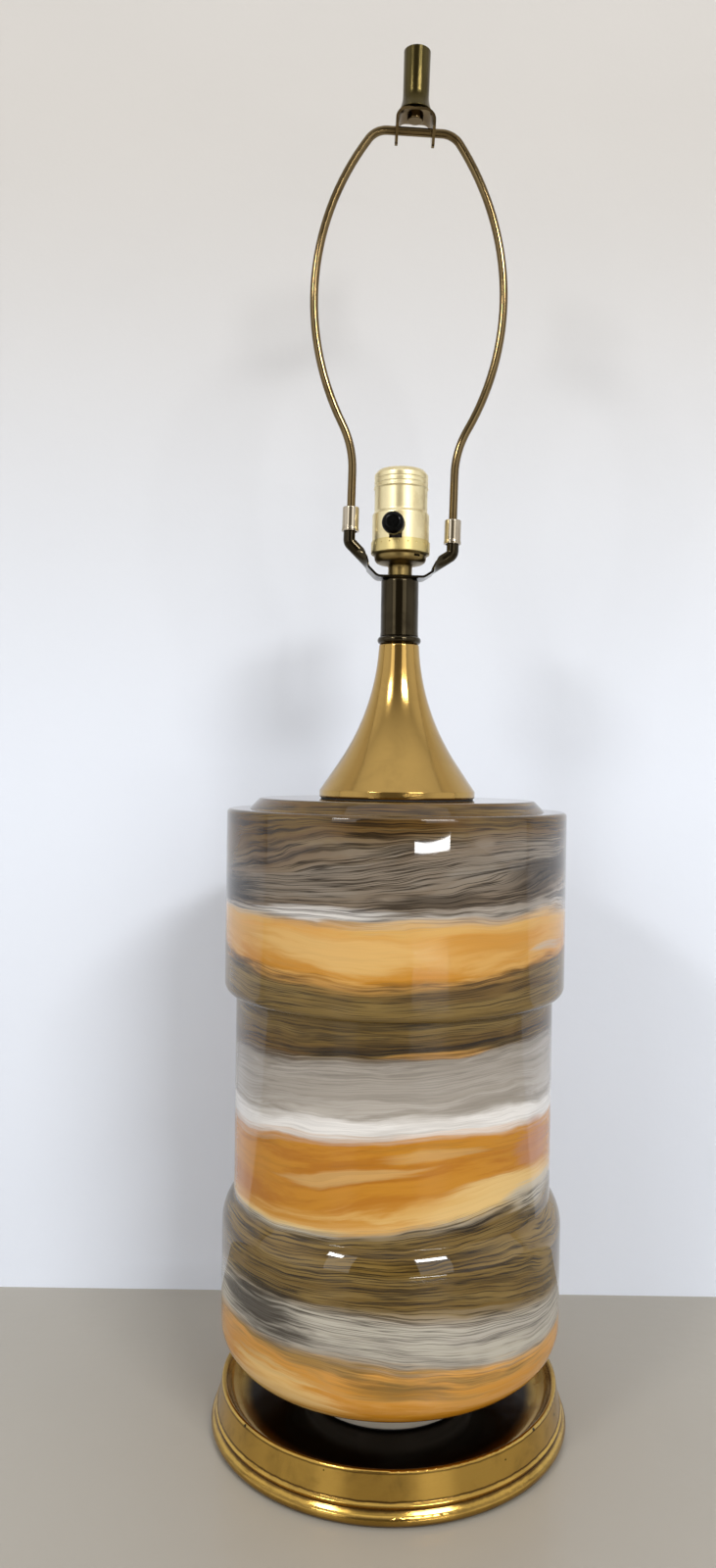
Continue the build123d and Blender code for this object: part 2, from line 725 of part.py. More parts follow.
# Ferrules that slide down over the saddle's channels
for name, side, skew in (("left", -1, SADDLE_SKEW), ("right", 1, -SADDLE_SKEW)):
    foot = FERRULE_FOOT_H + skew
    top = foot + FERRULE_H
    with BuildPart() as ferrule:
        spin(
            [
                (ferrule_bore_r, foot, 0),
                (ferrule_r + FERRULE_FLARE, foot, FERRULE_FLARE),
                (ferrule_r + FERRULE_FLARE, foot + FERRULE_FLARE_H, FERRULE_FLARE),
                (ferrule_r, foot + 2 * FERRULE_FLARE_H, FERRULE_FLARE),
                (ferrule_r, top, FERRULE_EDGE),
                (WIRE_R + RUNNING, top, 0),
                (WIRE_R + RUNNING, top - FERRULE_LIP, 0),
                (ferrule_bore_r, top - FERRULE_LIP, FERRULE_FLARE),
            ],
            plane=harp_upright(side * LEG_HALF_SPAN),
            axis=Axis(harp_point(side * LEG_HALF_SPAN, 0), along),
        )
    keep(ferrule, f"ferrule_{name}")

# Bracket that swings on the harp's top run
plate_top_h = HARP_H + BRACKET_RISE
plate_under_h = plate_top_h - BRACKET_T
ear_middle = (BRACKET_SPAN - BRACKET_T) / 2
ear_foot_h = HARP_H - EAR_DROP
with BuildPart() as harp_bracket:
    with BuildSketch(harp_front):
        with BuildLine():
            FilletPolyline(
                (-ear_middle, ear_foot_h),
                (-ear_middle, plate_top_h - BRACKET_T / 2),
                (ear_middle, plate_top_h - BRACKET_T / 2),
                (ear_middle, ear_foot_h),
                radius=BRACKET_BEND,
            )
        trace(line_width=BRACKET_T)
    extrude(amount=BRACKET_WIDTH / 2, both=True)
    with BuildSketch(harp_ears):
        with Locations((0, HARP_H + BRACKET_RISE / 2)):
            Rectangle(BRACKET_WIDTH, BRACKET_RISE)
        with Locations((0, ear_foot_h + EAR_TIP_R)):
            Circle(EAR_TIP_R)
        make_hull()
    extrude(amount=BRACKET_SPAN, both=True, mode=Mode.INTERSECT)
    with BuildSketch(harp_ears):
        with Locations((0, HARP_H)):
            Circle(WIRE_R + RUNNING)
    extrude(amount=BRACKET_SPAN, both=True, mode=Mode.SUBTRACT)
    with BuildSketch(harp_level(0, plate_under_h)):
        Circle(STUD_R + RUNNING)
    extrude(amount=BRACKET_T, mode=Mode.SUBTRACT)
keep(harp_bracket, "harp_bracket")

# Stud held in the bracket, its head under the plate
finial_axis = Axis(harp_point(0, 0), along)
with BuildPart() as finial_stud:
    spin(
        [
            (0, plate_under_h - STUD_HEAD_T, 0),
            (STUD_HEAD_R, plate_under_h - STUD_HEAD_T, STUD_EDGE),
            (STUD_HEAD_R, plate_under_h, 0),
            (STUD_R, plate_under_h, 0),
            (STUD_R, plate_top_h + STUD_ABOVE, STUD_EDGE),
            (0, plate_top_h + STUD_ABOVE, 0),
        ],
        plane=harp_front,
        axis=finial_axis,
    )
keep(finial_stud, "finial_stud")

# Finial nut: a barrel that widens a little upwards, with a flared, hollow skirt
finial_h = plate_top_h + FINIAL_GAP
barrel_foot_r = FINIAL_R - FINIAL_TAPER
skirt_r = barrel_foot_r + SKIRT_FLARE + FINIAL_TAPER
cavity_r = skirt_r - SKIRT_WALL
with BuildPart() as finial:
    spin(
        [
            (STUD_R + RUNNING, finial_h + SKIRT_CAVITY_H, 0),
            (cavity_r - STUD_EDGE, finial_h + SKIRT_CAVITY_H, STUD_EDGE),
            (cavity_r, finial_h, 0),
            (skirt_r, finial_h, FINIAL_EDGE),
            (barrel_foot_r, finial_h + SKIRT_H, SKIRT_ROUNDING),
            (FINIAL_R, finial_h + FINIAL_H, FINIAL_EDGE),
            (0, finial_h + FINIAL_H, 0),
            (0, finial_h + FINIAL_BORE_H, 0),
            (STUD_R + RUNNING, finial_h + FINIAL_BORE_H, 0),
        ],
        plane=harp_front,
        axis=finial_axis,
    )
keep(finial, "finial")

hub_back = Plane(origin=(0, 0, socket_z + HUB_H / 2), x_dir=(-1, 0, 0), z_dir=(0, 1, 0))

# Socket cap: threaded hub, dished floor, stepped side and crimped band
cap_slope = CAP_FLOOR_RISE / (cap_side_r - CAP_DRAFT - HUB_R)
with BuildPart() as socket_cap:
    with BuildSketch(Plane.XZ):
        with BuildLine():
            FilletPolyline(
                (rod_hole_r, hub_top_z),
                (HUB_R, hub_top_z),
                (cap_side_r - CAP_DRAFT, cap_corner_z),
                (cap_side_r, cap_side_z),
                (cap_band_r, cap_band_z),
                (cap_band_r, cap_top_z),
                radius=[CAP_BEND, CAP_CORNER_ROUNDING, CAP_BEND, CAP_BEND],
            )
            offset(amount=CAP_SHEET, side=Side.LEFT)
        make_face()
    revolve(axis=Axis.Z)
    spin(
        [
            (rod_hole_r, socket_z, 0),
            (HUB_R, socket_z, CAP_BEND),
            (HUB_R, hub_top_z, HUB_FILLET),
            (HUB_R + HUB_FLARE, hub_top_z + HUB_FLARE * cap_slope, 0),
            (HUB_R, hub_top_z + CAP_SHEET / 2, 0),
            (rod_hole_r, hub_top_z + CAP_SHEET / 2, 0),
        ]
    )
    dent_r = cap_band_r + CAP_DENT_R - CAP_DENT_DEPTH
    with Locations((0, 0, cap_top_z - CAP_DENT_DROP)):
        with PolarLocations(dent_r, CAP_DENTS, start_angle=CAP_DENT_TURN - 90):
            Sphere(CAP_DENT_R, mode=Mode.SUBTRACT)
    with BuildSketch(Plane.XY.offset(cap_side_z - CAP_SLOT_DROP)):
        with PolarLocations(cap_band_r, 1, start_angle=CAP_SLOT_TURN - 90):
            Rectangle(2 * (cap_band_r - cap_side_r + 2 * CAP_SHEET), CAP_SLOT_WIDTH)
    extrude(amount=CAP_SLOT_H, mode=Mode.SUBTRACT)
    with BuildSketch(hub_back):
        Circle(SET_SCREW_R + RUNNING)
    extrude(amount=HUB_R, mode=Mode.SUBTRACT)
keep(socket_cap, "socket_cap")

# Set screw in the back of the hub
set_screw_end = HUB_R + SET_SCREW_PROUD
with BuildPart() as cap_set_screw:
    with BuildSketch(hub_back.offset(ROD_R + RUNNING)):
        Circle(SET_SCREW_R)
    extrude(amount=set_screw_end - ROD_R - RUNNING)
    with BuildSketch(hub_back.offset(set_screw_end)):
        Rectangle(2 * SET_SCREW_R, DRIVE_SLOT_WIDTH)
    extrude(amount=-DRIVE_SLOT_DEPTH, mode=Mode.SUBTRACT)
keep(cap_set_screw, "cap_set_screw")

# Switch axis: level, out of the socket's front and turned a little
switch_dir = Vector(sin(radians(KNOB_TURN)), -cos(radians(KNOB_TURN)), 0)
switch_side = Vector(0, 0, 1).cross(switch_dir)
switch_z = socket_z + KNOB_H
switch_face = Plane(origin=(0, 0, switch_z), x_dir=switch_side, z_dir=switch_dir)
switch_section = Plane(origin=(0, 0, switch_z), x_dir=switch_side, z_dir=(0, 0, -1))
switch_axis = Axis((0, 0, switch_z), switch_dir)
shaft_start = insulator_r - SWITCH_SHAFT_DEPTH
shaft_end = knob_back + SWITCH_SHAFT_IN_KNOB


def cut_notch():
    """Round-topped notch under the switch axis, through the sleeve being made."""
    with BuildSketch(switch_face.offset(insulator_r / 2)) as notch:
        Circle(NOTCH_WIDTH / 2)
        with Locations((0, -KNOB_H / 2)):
            Rectangle(NOTCH_WIDTH, KNOB_H)
    extrude(notch.sketch, amount=SHELL_R, mode=Mode.SUBTRACT)


# Brass socket shell, notched under the switch. Each step is (radius, rise, rounding)
shell_steps = [
    (SHELL_R, SHELL_LOWER_H, SHELL_STEP_ROUNDING),
    (shell_upper_r, SHELL_STEP_H, SHELL_STEP_ROUNDING),
    (shell_upper_r, SHELL_UPPER_H, SHELL_BEAD_ROUNDING),
    (SHELL_R - SHELL_BEAD_INSET, SHELL_BEAD_FLANK, SHELL_BEAD_ROUNDING),
    (shell_collar_r, SHELL_BEAD_FLANK, SHELL_BEAD_ROUNDING),
]
for land in (SHELL_LAND_FOOT, SHELL_LAND_MIDDLE):
    shell_steps += [
        (shell_collar_r, land, SHELL_BEAD_ROUNDING),
        (shell_collar_r - SHELL_GROOVE_DEPTH, SHELL_GROOVE_HALF, SHELL_BEAD_ROUNDING),
        (shell_collar_r, SHELL_GROOVE_HALF, SHELL_BEAD_ROUNDING),
    ]
shell_steps += [
    (shell_collar_r, SHELL_LAND_TOP, SHELL_COLLAR_ROUNDING),
    (SHELL_R - SHELL_RIM_INSET, SHELL_RIM_RISE, 0),
]
shell_top_z = shell_foot_z
shell_points = [(SHELL_R, shell_foot_z)]
for shell_r, rise, rounding in shell_steps:
    shell_top_z += rise
    shell_points.append((shell_r, shell_top_z))

with BuildPart() as socket_shell:
    with BuildSketch(Plane.XZ):
        with BuildLine():
            FilletPolyline(
                shell_points,
                radius=[rounding for shell_r, rise, rounding in shell_steps[:-1]],
            )
            offset(amount=SHELL_SHEET, side=Side.LEFT)
        make_face()
    revolve(axis=Axis.Z)
    cut_notch()
keep(socket_shell, "socket_shell")

# Paper sleeve between the shell and the live parts
with BuildPart() as insulating_liner:
    with BuildSketch(Plane.XY.offset(shell_foot_z)):
        Circle(liner_r)
        Circle(liner_r - LINER_T, mode=Mode.SUBTRACT)
    extrude(amount=shell_top_z - LINER_TOP_GAP - shell_foot_z)
    cut_notch()
keep(insulating_liner, "insulating_liner")

# Insulating body that carries the switch, the terminals and the lamp contacts
terminal_z = insulator_top_z - TERMINAL_DROP
terminal_seat = insulator_r - TERMINAL_POCKET_DEPTH
with BuildPart() as socket_body:
    spin(
        [
            (0, cap_corner_z, 0),
            (INSULATOR_FOOT_R, cap_corner_z, INSULATOR_EDGE),
            (INSULATOR_FOOT_R, insulator_step_z, INSULATOR_EDGE),
            (insulator_r, insulator_step_z, INSULATOR_EDGE),
            (insulator_r, insulator_top_z, INSULATOR_EDGE),
            (0, insulator_top_z, 0),
        ]
    )
    with BuildSketch(switch_face.offset(shaft_start)):
        Circle(SWITCH_SHAFT_R + RUNNING)
    extrude(amount=SHELL_R, mode=Mode.SUBTRACT)
    for side in (-1, 1):
        with BuildSketch(Plane(origin=(side * terminal_seat, 0, terminal_z), z_dir=(side, 0, 0))):
            Rectangle(TERMINAL_POCKET_H, TERMINAL_POCKET_WIDTH)
        extrude(amount=insulator_r, mode=Mode.SUBTRACT)
        with BuildSketch(Plane(origin=(side * terminal_seat, 0, terminal_z), z_dir=(side, 0, 0))):
            Circle(TERMINAL_SHANK_R + RUNNING)
        extrude(amount=-TERMINAL_SHANK_L, mode=Mode.SUBTRACT)
keep(socket_body, "socket_body")

with BuildPart() as terminal_screws:
    for side in (-1, 1):
        seat = Plane(origin=(side * terminal_seat, 0, terminal_z), z_dir=(side, 0, 0))
        with BuildSketch(seat):
            Circle(TERMINAL_R)
        extrude(amount=TERMINAL_T)
        with BuildSketch(seat):
            Circle(TERMINAL_SHANK_R)
        extrude(amount=-TERMINAL_SHANK_L)
        with BuildSketch(seat.offset(TERMINAL_T)):
            Rectangle(2 * TERMINAL_R, DRIVE_SLOT_WIDTH)
        extrude(amount=-DRIVE_SLOT_DEPTH, mode=Mode.SUBTRACT)
keep(terminal_screws, "terminal_screws")

# Thin screw shell for the lamp cap, its thread rolled as rings
thread_rise = (THREAD_PITCH - 2 * THREAD_FLAT) / 2
thread_floor_z = insulator_top_z + THREAD_SHEET
thread_z = thread_floor_z + THREAD_FOOT_H + thread_rise
thread_points = [
    (THREAD_FLANGE_R, thread_floor_z),
    (THREAD_ROOT_R, thread_floor_z),
    (THREAD_ROOT_R, thread_floor_z + THREAD_FOOT_H),
    (THREAD_CREST_R, thread_z),
]
for turn in range(THREAD_TURNS):
    ring_z = thread_z + turn * THREAD_PITCH
    thread_points += [
        (THREAD_CREST_R, ring_z + THREAD_FLAT),
        (THREAD_ROOT_R, ring_z + THREAD_FLAT + thread_rise),
        (THREAD_ROOT_R, ring_z + THREAD_FLAT + thread_rise + THREAD_FLAT),
        (THREAD_CREST_R, ring_z + THREAD_PITCH),
    ]
thread_points.append((THREAD_CREST_R, thread_z + THREAD_TURNS * THREAD_PITCH + THREAD_LIP_H))
with BuildPart() as screw_shell:
    with BuildSketch(Plane.XZ):
        with BuildLine():
            Polyline(*thread_points)
            offset(amount=THREAD_SHEET, side=Side.RIGHT, kind=Kind.INTERSECTION)
        make_face()
    revolve(axis=Axis.Z)
keep(screw_shell, "screw_shell")

with BuildPart() as centre_contact:
    spin(
        [
            (0, insulator_top_z, 0),
            (CONTACT_R, insulator_top_z, 0),
            (CONTACT_R, insulator_top_z + CONTACT_RISE, CONTACT_T),
            (0, insulator_top_z + CONTACT_RISE, 0),
        ]
    )
keep(centre_contact, "centre_contact")

# Rotary switch: a shaft in the body and a domed knob on it
with BuildPart() as switch_shaft:
    with BuildSketch(switch_face.offset(shaft_start)):
        Circle(SWITCH_SHAFT_R)
    extrude(amount=shaft_end - shaft_start)
keep(switch_shaft, "switch_shaft")

with BuildPart() as switch_knob:
    spin(
        [
            (0, knob_back, 0),
            (KNOB_NECK_R, knob_back, 0),
            (KNOB_NECK_R, knob_back + KNOB_NECK_H, 0),
            (KNOB_R, knob_back + KNOB_NECK_H, KNOB_BACK_EDGE),
            (KNOB_R, knob_face, KNOB_DOME),
            (0, knob_face, 0),
        ],
        plane=switch_section,
        axis=switch_axis,
    )
    with BuildSketch(switch_face.offset(knob_back)):
        Circle(SWITCH_SHAFT_R + RUNNING)
    extrude(amount=SWITCH_SHAFT_IN_KNOB, mode=Mode.SUBTRACT)
keep(switch_knob, "switch_knob")
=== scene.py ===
"""Looks of the tall table lamp: marbled glass, brasses, socket, and a plain pale room round it.

Metres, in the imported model's frame: the lamp's axis is Z, the floor is z = 0 and the knob faces
-Y. Millimetres where a comment says so.
Angles round the lamp are measured from the front, and grow towards +X.
"""

from math import atan2, ceil, cos, pi, radians, sin, tan

import bmesh
import bpy
from mathutils import Matrix, Vector, noise


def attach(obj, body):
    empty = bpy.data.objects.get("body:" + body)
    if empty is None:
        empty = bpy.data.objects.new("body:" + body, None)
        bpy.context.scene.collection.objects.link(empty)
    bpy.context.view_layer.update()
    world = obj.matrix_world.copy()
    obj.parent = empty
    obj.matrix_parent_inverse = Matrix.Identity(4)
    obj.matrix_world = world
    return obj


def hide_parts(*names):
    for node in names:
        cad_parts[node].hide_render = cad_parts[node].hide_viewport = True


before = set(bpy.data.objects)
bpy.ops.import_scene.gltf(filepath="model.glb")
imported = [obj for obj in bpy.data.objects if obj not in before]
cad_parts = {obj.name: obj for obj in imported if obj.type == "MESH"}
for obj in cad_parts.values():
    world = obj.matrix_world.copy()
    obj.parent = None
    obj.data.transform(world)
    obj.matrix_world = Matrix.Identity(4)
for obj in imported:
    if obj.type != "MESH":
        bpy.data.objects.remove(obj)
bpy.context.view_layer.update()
# A millimetre, in metres
MM = 0.001

# Camera, as the photograph's, with its place in metres and its angles in degrees
PHOTO_HEIGHT = 1600
FOCAL_PIXELS = 1137.8
SENSOR = 36.0
CAMERA_AT = (-0.0080, -0.6745, 0.3924)
CAMERA_DROP = 0.818
CAMERA_ROLL = 0.801
# The photograph is a crop, so its optical axis lies right of its middle
AXIS_RIGHT_PIXELS = 26.4

# Room, in metres
WALL_Y = 0.155
ROOM_HALF = 4.0
WALL_HEIGHT = 3.2

# Glass, in millimetres, with heights above the floor
GLASS_WALL = 4.0
GLASS_R = 101.8
WAIST_R = 95.0
GLASS_FOOT_Z = 18.0
GLASS_TOP_Z = 373.9
BOWL_Z = 29.3
FOOT_R = 50.0
FOOT_INNER_R = 43.0
FOOT_HOLE_R = 6.5
MOUTH_R = 25.0
BOWL_RISE = 22.3
BULGE_TOP_Z = 131.3
WAIST_FOOT_Z = 140.3
WAIST_TOP_Z = 259.3
SHOULDER_Z = 367.6
LEDGE_R = 88.7
DISC_R = 82.4

# Plain wall of the brass base, in millimetres: radius and height of its foot, and how far it
# leans in for each millimetre up
WALL_FOOT_R = 103.2
WALL_FOOT_Z = 12.3
WALL_LEAN = 0.172


def camera():
    """The photograph's viewpoint."""
    data = bpy.data.cameras.new("camera")
    data.sensor_width = SENSOR
    data.lens = FOCAL_PIXELS * SENSOR / PHOTO_HEIGHT
    data.shift_x = -AXIS_RIGHT_PIXELS / PHOTO_HEIGHT
    eye = bpy.data.objects.new("camera", data)
    bpy.context.scene.collection.objects.link(eye)
    tilt = Matrix.Rotation(radians(90 - CAMERA_DROP), 4, "X")
    roll = Matrix.Rotation(radians(CAMERA_ROLL), 4, "Z")
    eye.matrix_world = Matrix.Translation(CAMERA_AT) @ tilt @ roll
    bpy.context.scene.camera = eye


# Numbers of the mix node's sockets that carry colours
MIX_FACTOR, MIX_A, MIX_B, MIX_COLOUR = 0, 6, 7, 2


class Graph:
    """A node tree, with short calls that add a node and return its output."""

    def __init__(self, tree):
        self.tree = tree
        self.nodes = tree.nodes
        self.nodes.clear()

    def put(self, socket, value):
        """Link or set one input."""
        if isinstance(value, bpy.types.NodeSocket):
            self.tree.links.new(value, socket)
        elif isinstance(value, (tuple, list)) and socket.type == "RGBA" and len(value) == 3:
            socket.default_value = (*value, 1)
        else:
            socket.default_value = value

    def node(self, kind, inputs=(), **settings):
        """Add a node. inputs maps socket names or numbers to values or outputs."""
        made = self.nodes.new(kind)
        for name, value in settings.items():
            setattr(made, name, value)
        for name, value in dict(inputs).items():
            self.put(made.inputs[name], value)
        return made

    def math(self, operation, *values, clamp=False):
        made = self.nodes.new("ShaderNodeMath")
        made.operation = operation
        made.use_clamp = clamp
        for socket, value in zip(made.inputs, values):
            self.put(socket, value)
        return made.outputs[0]

    def add(self, *values):
        total = values[0]
        for value in values[1:]:
            total = self.math("ADD", total, value)
        return total

    def mul(self, *values):
        total = values[0]
        for value in values[1:]:
            total = self.math("MULTIPLY", total, value)
        return total

    def sub(self, a, b):
        return self.math("SUBTRACT", a, b)

    def step(self, value, low, high, to_low=0.0, to_high=1.0):
        """Smooth step from low to high."""
        return self.node(
            "ShaderNodeMapRange",
            {0: value, 1: low, 2: high, 3: to_low, 4: to_high},
            interpolation_type="SMOOTHSTEP",
        ).outputs[0]

    def vector(self, x, y, z):
        return self.node("ShaderNodeCombineXYZ", {0: x, 1: y, 2: z}).outputs[0]

    def parts(self, vector):
        return self.node("ShaderNodeSeparateXYZ", {0: vector}).outputs

    def dot(self, a, b):
        return self.node("ShaderNodeVectorMath", {0: a, 1: b}, operation="DOT_PRODUCT").outputs[1]

    def noise(self, vector, scale, detail=2.0, rough=0.5, warp=0.0):
        """Soft noise from about 0.2 to 0.8."""
        return self.node("ShaderNodeTexNoise", {
            "Vector": vector,
            "Scale": scale,
            "Detail": detail,
            "Roughness": rough,
            "Distortion": warp,
        }).outputs[0]

    def mix(self, factor, a, b):
        """Colour a where factor is 0, b where it is 1."""
        made = self.nodes.new("ShaderNodeMix")
        made.data_type = "RGBA"
        self.put(made.inputs[MIX_FACTOR], factor)
        self.put(made.inputs[MIX_A], a)
        self.put(made.inputs[MIX_B], b)
        return made.outputs[MIX_COLOUR]

    def ramp(self, factor, stops):
        """Colour ramp; stops are (position, colour)."""
        made = self.nodes.new("ShaderNodeValToRGB")
        elements = made.color_ramp.elements
        while len(elements) > 1:
            elements.remove(elements[-1])
        elements[0].position, elements[0].color = stops[0][0], as_rgba(stops[0][1])
        for position, colour in stops[1:]:
            elements.new(position).color = as_rgba(colour)
        self.put(made.inputs[0], factor)
        return made

    def bump(self, height, distance, strength=1.0, normal=None):
        """A normal bent by a height; distance is the depth in metres."""
        inputs = {"Height": height, "Distance": distance, "Strength": strength}
        if normal:
            inputs["Normal"] = normal
        return self.node("ShaderNodeBump", inputs).outputs[0]

    def place(self):
        """The point in the piece's own frame, in millimetres."""
        point = self.node("ShaderNodeTexCoord").outputs["Object"]
        scaled = self.node("ShaderNodeVectorMath", {0: point, 3: 1 / MM}, operation="SCALE")
        return scaled.outputs[0]


def as_rgba(colour):
    return tuple(colour) if len(colour) == 4 else (*colour, 1)


def srgb(red, green, blue):
    """A screen colour, 0 to 255 a channel, as linear light."""
    def linear(value):
        value /= 255
        return value / 12.92 if value <= 0.04045 else ((value + 0.055) / 1.055) ** 2.4

    return (linear(red), linear(green), linear(blue))


def surface(name, build):
    """A material whose build(graph) returns the Principled inputs."""
    material = bpy.data.materials.new(name)
    material.use_nodes = True
    graph = Graph(material.node_tree)
    inputs = build(graph)
    shader = graph.node("ShaderNodeBsdfPrincipled", inputs)
    graph.node("ShaderNodeOutputMaterial", {0: shader.outputs[0]})
    return material


# Heights at which the marbling's flow changes, with how much the flow rises: to the right,
# at the front, and twice round the lamp (sine and cosine), all in millimetres. Heights of the
# marbling are measured from PAINT_FOOT_Z
PAINT_FOOT_Z = 1.3
FLOW = [
    (40, 0, 0, 0, 0),
    (76, -3, 1, -3, 0),
    (109, -5, 0, 0, 5),
    (138, 4, 1, 1, 0),
    (155, 9, 0, 5, 0),
    (190, 1, 3, 2, 1.5),
    (204, 1, 3, 2, 1.5),
    (236, 7, 4, 0, 0),
    (248, 5, 1, 0, 0),
    (284, 1.5, -5, 0, -5),
    (312, 0, 0, 0, 0),
    (336, 17, 0, 0, 0),
    (360, 2, 2, 0, 0),
]
FLOW_REACH = 20.0
PAINT_HEIGHT = 480.0
# The marbling turns onto the top between these depths below the glass's top
TURN_LOW, TURN_HIGH = 9, 6

# Length along the flow and thickness of each kind of streak, in millimetres
WANDER = (70.0, 40.0)
RIPPLE = (42.0, 16.0)
BROAD = (70.0, 8.0)
MEDIUM = (85.0, 2.0)
HAIR = (95.0, 1.5)
CLUSTER = (38.0, 11.0)
# How far these move the colours up and down, in millimetres
WANDER_REACH = 9.0
RIPPLE_REACH = 5.0
MEDIUM_REACH = 9.0
BROAD_REACH = 4.0
# How far the streaks fray a pool, as a share of its size
POOL_FRAY = 2.4
HAIR_SHARPNESS = 16.0

WHITE = srgb(232, 229, 225)
PALE = srgb(182, 175, 166)
SILVER = srgb(184, 178, 164)
GREY = srgb(138, 130, 119)
TAUPE = srgb(124, 108, 90)
UMBER = srgb(100, 84, 65)
OLIVE = srgb(110, 86, 38)
KHAKI = srgb(134, 111, 62)
BROWN = srgb(92, 66, 28)
DARK = srgb(30, 20, 8)
AMBER = srgb(210, 166, 94)
ORANGE = srgb(192, 130, 34)
DEEP = srgb(172, 106, 18)
PEACH = srgb(210, 154, 76)
CREAM = srgb(222, 188, 124)
# The foot ring is lighter than its own clear glass: painted light against the shade under the bowl
FOOT_GLASS_PAINTED_LIGHT = srgb(240, 236, 222)

# The bands from the foot up: height where each colour starts, main colour, streak colour,
# then how strong its broad streaks, dark streaks and dark hairlines are
BANDS = [
    (29, FOOT_GLASS_PAINTED_LIGHT, SILVER, 0.4, 0.0, 0.0),
    (34, ORANGE, PEACH, 0.8, 0.0, 0.0),
    (60, ORANGE, PEACH, 0.8, 0.0, 0.0),
    (75, PEACH, KHAKI, 0.8, 0.3, 0.3),
    (80, SILVER, GREY, 0.5, 0.2, 0.5),
    (98, SILVER, PALE, 0.5, 0.25, 0.7),
    (106, OLIVE, KHAKI, 0.8, 0.5, 0.9),
    (114, OLIVE, KHAKI, 0.7, 0.7, 1.0),
    (142, OLIVE, KHAKI, 0.6, 0.75, 1.0),
    (146, SILVER, OLIVE, 0.6, 0.5, 0.8),
    (149, CREAM, PEACH, 0.6, 0.0, 0.1),
    (156, AMBER, ORANGE, 0.8, 0.0, 0.0),
    (164, ORANGE, DEEP, 0.8, 0.0, 0.0),
    (190, ORANGE, DEEP, 0.8, 0.2, 0.05),
    (195, WHITE, PALE, 0.3, 0.0, 0.2),
    (201, WHITE, PALE, 0.3, 0.0, 0.1),
    (205, PALE, GREY, 0.8, 0.0, 0.12),
    (234, GREY, PALE, 0.7, 0.15, 0.35),
    (238, BROWN, KHAKI, 0.7, 0.7, 0.8),
    (241, BROWN, DARK, 0.6, 0.9, 0.9),
    (247, OLIVE, BROWN, 0.7, 0.85, 0.9),
    (254, OLIVE, KHAKI, 0.7, 0.45, 0.8),
    (280, KHAKI, OLIVE, 0.7, 0.35, 0.8),
    (286, BROWN, PEACH, 0.7, 0.7, 0.7),
    (289, ORANGE, AMBER, 0.8, 0.05, 0.05),
    (308, AMBER, PEACH, 0.8, 0.0, 0.05),
    (313, PALE, GREY, 0.6, 0.2, 0.6),
    (318, TAUPE, UMBER, 0.6, 0.3, 1.0),
    (332, GREY, TAUPE, 0.6, 0.25, 1.0),
    (346, TAUPE, GREY, 0.7, 0.35, 1.0),
    (357, BROWN, OLIVE, 0.8, 0.9, 0.9),
    (470, BROWN, OLIVE, 0.8, 0.9, 0.9),
]

# Local pools of colour: angle, height, half width in degrees, half height, colour, strength
POOLS = [
    (-46, 95, 24, 17, DARK, 0.85),
    (-42, 50, 26, 18, CREAM, 0.8),
    (-66, 330, 20, 20, DARK, 0.85),
    (-26, 316, 24, 5, WHITE, 0.75),
    (42, 154, 34, 11, CREAM, 0.95),
    (54, 326, 26, 9, DARK, 0.7),
    (8, 321, 16, 4, DARK, 0.5),
    (46, 340, 22, 6, GREY, 0.55),
    (58, 147, 18, 8, SILVER, 0.8),
    (56, 178, 12, 16, srgb(180, 124, 88), 0.8),
    (14, 237, 18, 3, PEACH, 0.7),
    (2, 67, 18, 5, OLIVE, 0.6),
    (-14, 176, 26, 3, CREAM, 0.5),
    (14, 183, 18, 3, CREAM, 0.4),
    (-6, 242, 60, 3, DARK, 0.6),
    (30, 277, 40, 5, BROWN, 0.7),
    (-20, 300, 30, 7, CREAM, 0.45),
    (34, 302, 20, 6, ORANGE, 0.6),
    (58, 294, 12, 2.5, PALE, 0.6),
]


def drawn_out(g, x, y, level, length, thickness, detail=4.0, rough=0.6, warp=0.0):
    """Noise drawn out along the flow, its features about this long and thick in millimetres."""
    stretched = g.vector(x, y, g.mul(level, length / thickness))
    return g.noise(stretched, 1 / length, detail, rough, warp)


